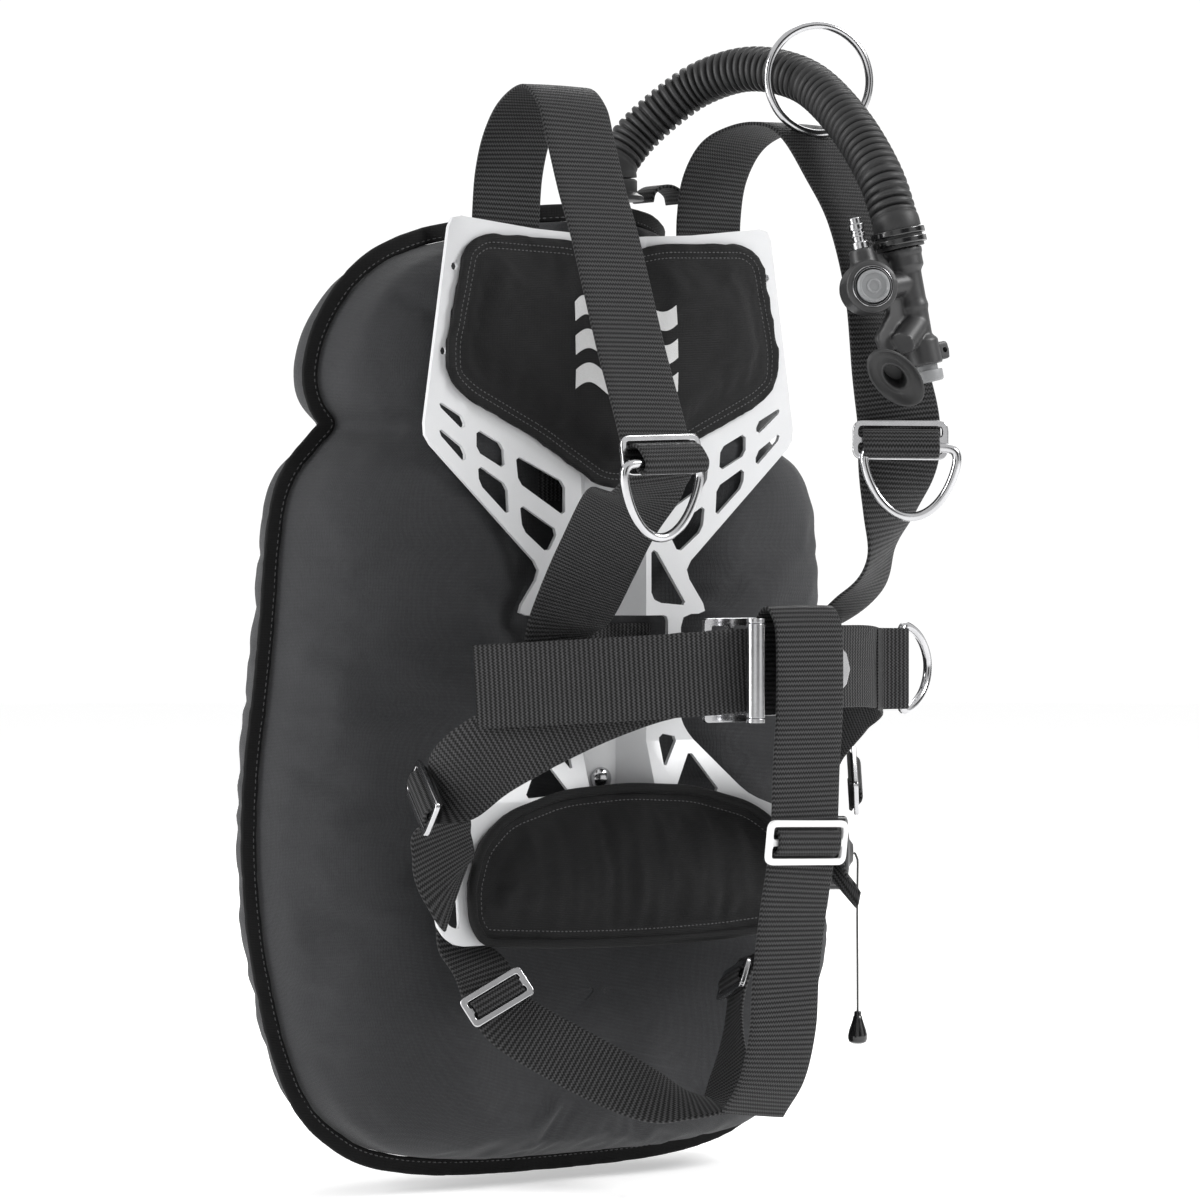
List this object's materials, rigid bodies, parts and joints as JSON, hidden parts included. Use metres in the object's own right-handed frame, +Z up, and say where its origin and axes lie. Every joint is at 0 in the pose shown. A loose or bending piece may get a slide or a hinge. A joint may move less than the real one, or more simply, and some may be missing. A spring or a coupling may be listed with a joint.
{
  "type": "buoyancy compensator vest",
  "caption": "Scuba backplate harness with a horseshoe air wing behind it, shoulder and crotch straps, waist buckle, corrugated inflator hose and a pull dump valve.",
  "frame": {"origin": "tank seat: back of the wing centre panel on the spine line, half way between the two plate bolts", "axes": "+Z up along the spine, -Y to the front where the wearer stands, +X to the wearer's left"},
  "size_m": [0.454, 0.4522, 0.724],
  "materials": {
    "stainless": "polished",
    "plate_silver": "satin",
    "pad_fabric": "matt",
    "wing_nylon": "matt",
    "bladder_film": "satin",
    "webbing": "matt",
    "black_plastic": "satin",
    "hose_rubber": "matt",
    "grey_plastic": "satin",
    "white_slider": "satin"
  },
  "bodies": {
    "vest": {"plate_bolt_upper": "stainless", "plate_bolt_lower": "stainless", "wing_grommet_upper": "stainless", "wing_grommet_lower": "stainless", "cam_frame_upper": "stainless", "cam_frame_lower": "stainless", "chest_slider_right": "stainless", "chest_slider_left": "stainless", "shoulder_end_slider_right": "stainless", "shoulder_end_slider_left": "stainless", "hip_slider_right": "stainless", "hip_slider_left": "stainless", "leg_slider_right": "stainless", "leg_slider_left": "stainless", "buckle_frame": "stainless", "buckle_roller": "stainless", "button_retaining_ring": "stainless", "lp_nipple": "stainless", "backplate": "plate_silver", "back_pad": "pad_fabric", "lumbar_pad": "pad_fabric", "wing_front_shell": "wing_nylon", "wing_back_shell": "wing_nylon", "wing_bladder": "bladder_film", "wing_edge_binding": "webbing", "carry_handle": "webbing", "tank_band_upper": "webbing", "tank_band_lower": "webbing", "shoulder_strap_right": "webbing", "shoulder_strap_left": "webbing", "waist_belt_right": "webbing", "waist_belt_left": "webbing", "crotch_strap": "webbing", "leg_strap_right": "webbing", "leg_strap_left": "webbing", "waist_ring_keeper": "webbing", "hose_elbow": "black_plastic", "hose_tie_lower": "black_plastic", "hose_tie_upper": "black_plastic", "inflator_body": "black_plastic", "mouthpiece": "black_plastic", "dump_valve_base": "black_plastic", "dump_valve_cap": "black_plastic", "corrugated_hose": "hose_rubber", "crotch_slider": "white_slider"},
    "waist_lever": {"buckle_lever": "stainless"},
    "chest_ring_right": {"chest_d_ring_right": "stainless"},
    "chest_ring_left": {"chest_d_ring_left": "stainless"},
    "waist_ring": {"waist_d_ring": "stainless"},
    "hose_loop": {"hose_ring": "stainless"},
    "cam_upper": {"cam_lever_upper": "black_plastic"},
    "cam_lower": {"cam_lever_lower": "black_plastic"},
    "inflate_key": {"inflate_button": "grey_plastic", "inflate_spring": "stainless"},
    "deflate_key": {"deflate_button": "grey_plastic", "deflate_spring": "stainless"},
    "dump_line": {"dump_cord": "hose_rubber", "dump_toggle": "black_plastic"},
    "dump_disc": {"dump_poppet": "hose_rubber", "dump_spring": "stainless"}
  },
  "joints": [
    {"name": "lever_pivot", "type": "hinge", "parent": "vest", "child": "waist_lever", "pos_m": [-0.022, -0.2035, -0.067], "axis": [0, 0, -1], "range_deg": [0, 5]},
    {"name": "chest_ring_right_swing", "type": "hinge", "parent": "vest", "child": "chest_ring_right", "pos_m": [-0.089, -0.202, 0.055], "axis": [-1, 0, 0], "range_deg": [0, 110]},
    {"name": "chest_ring_left_swing", "type": "hinge", "parent": "vest", "child": "chest_ring_left", "pos_m": [0.083, -0.219, 0.066], "axis": [-0.8211, 0.5708, 0], "range_deg": [0, 110]},
    {"name": "waist_ring_swing", "type": "hinge", "parent": "vest", "child": "waist_ring", "pos_m": [0.1263, -0.1555, -0.069], "axis": [0, 0, 1], "range_deg": [-80, 15]},
    {"name": "hose_ring_tilt", "type": "hinge", "parent": "vest", "child": "hose_loop", "pos_m": [0.09, -0.119, 0.2625], "axis": [0.9539, -0.3, 0], "range_deg": [-15, 15]},
    {"name": "cam_lever_upper_pivot", "type": "hinge", "parent": "vest", "child": "cam_upper", "pos_m": [-0.0295, 0.1932, 0.06], "axis": [0, 0, 1], "range_deg": [0, 120]},
    {"name": "cam_lever_lower_pivot", "type": "hinge", "parent": "vest", "child": "cam_lower", "pos_m": [-0.0295, 0.1932, -0.067], "axis": [0, 0, 1], "range_deg": [0, 120]},
    {"name": "inflate_press", "type": "slide", "parent": "vest", "child": "inflate_key", "axis": [0.4224, 0.905, -0.0503], "range_m": [0, 0.0025], "stiffness_N_per_m": 300},
    {"name": "deflate_press", "type": "slide", "parent": "vest", "child": "deflate_key", "axis": [-0.1705, 0.1204, 0.978], "range_m": [0, 0.003], "stiffness_N_per_m": 300},
    {"name": "dump_pull", "type": "slide", "parent": "vest", "child": "dump_line", "axis": [0, 0, -1], "range_m": [0, 0.003], "stiffness_N_per_m": 300},
    {"name": "poppet_lift", "type": "slide", "parent": "vest", "child": "dump_disc", "axis": [0.8211, -0.5708, 0], "range_m": [0, 0.003], "stiffness_N_per_m": 300}
  ],
  "couplings": [
    {"joint": "poppet_lift", "follows": "dump_pull", "ratio": 1}
  ]
}
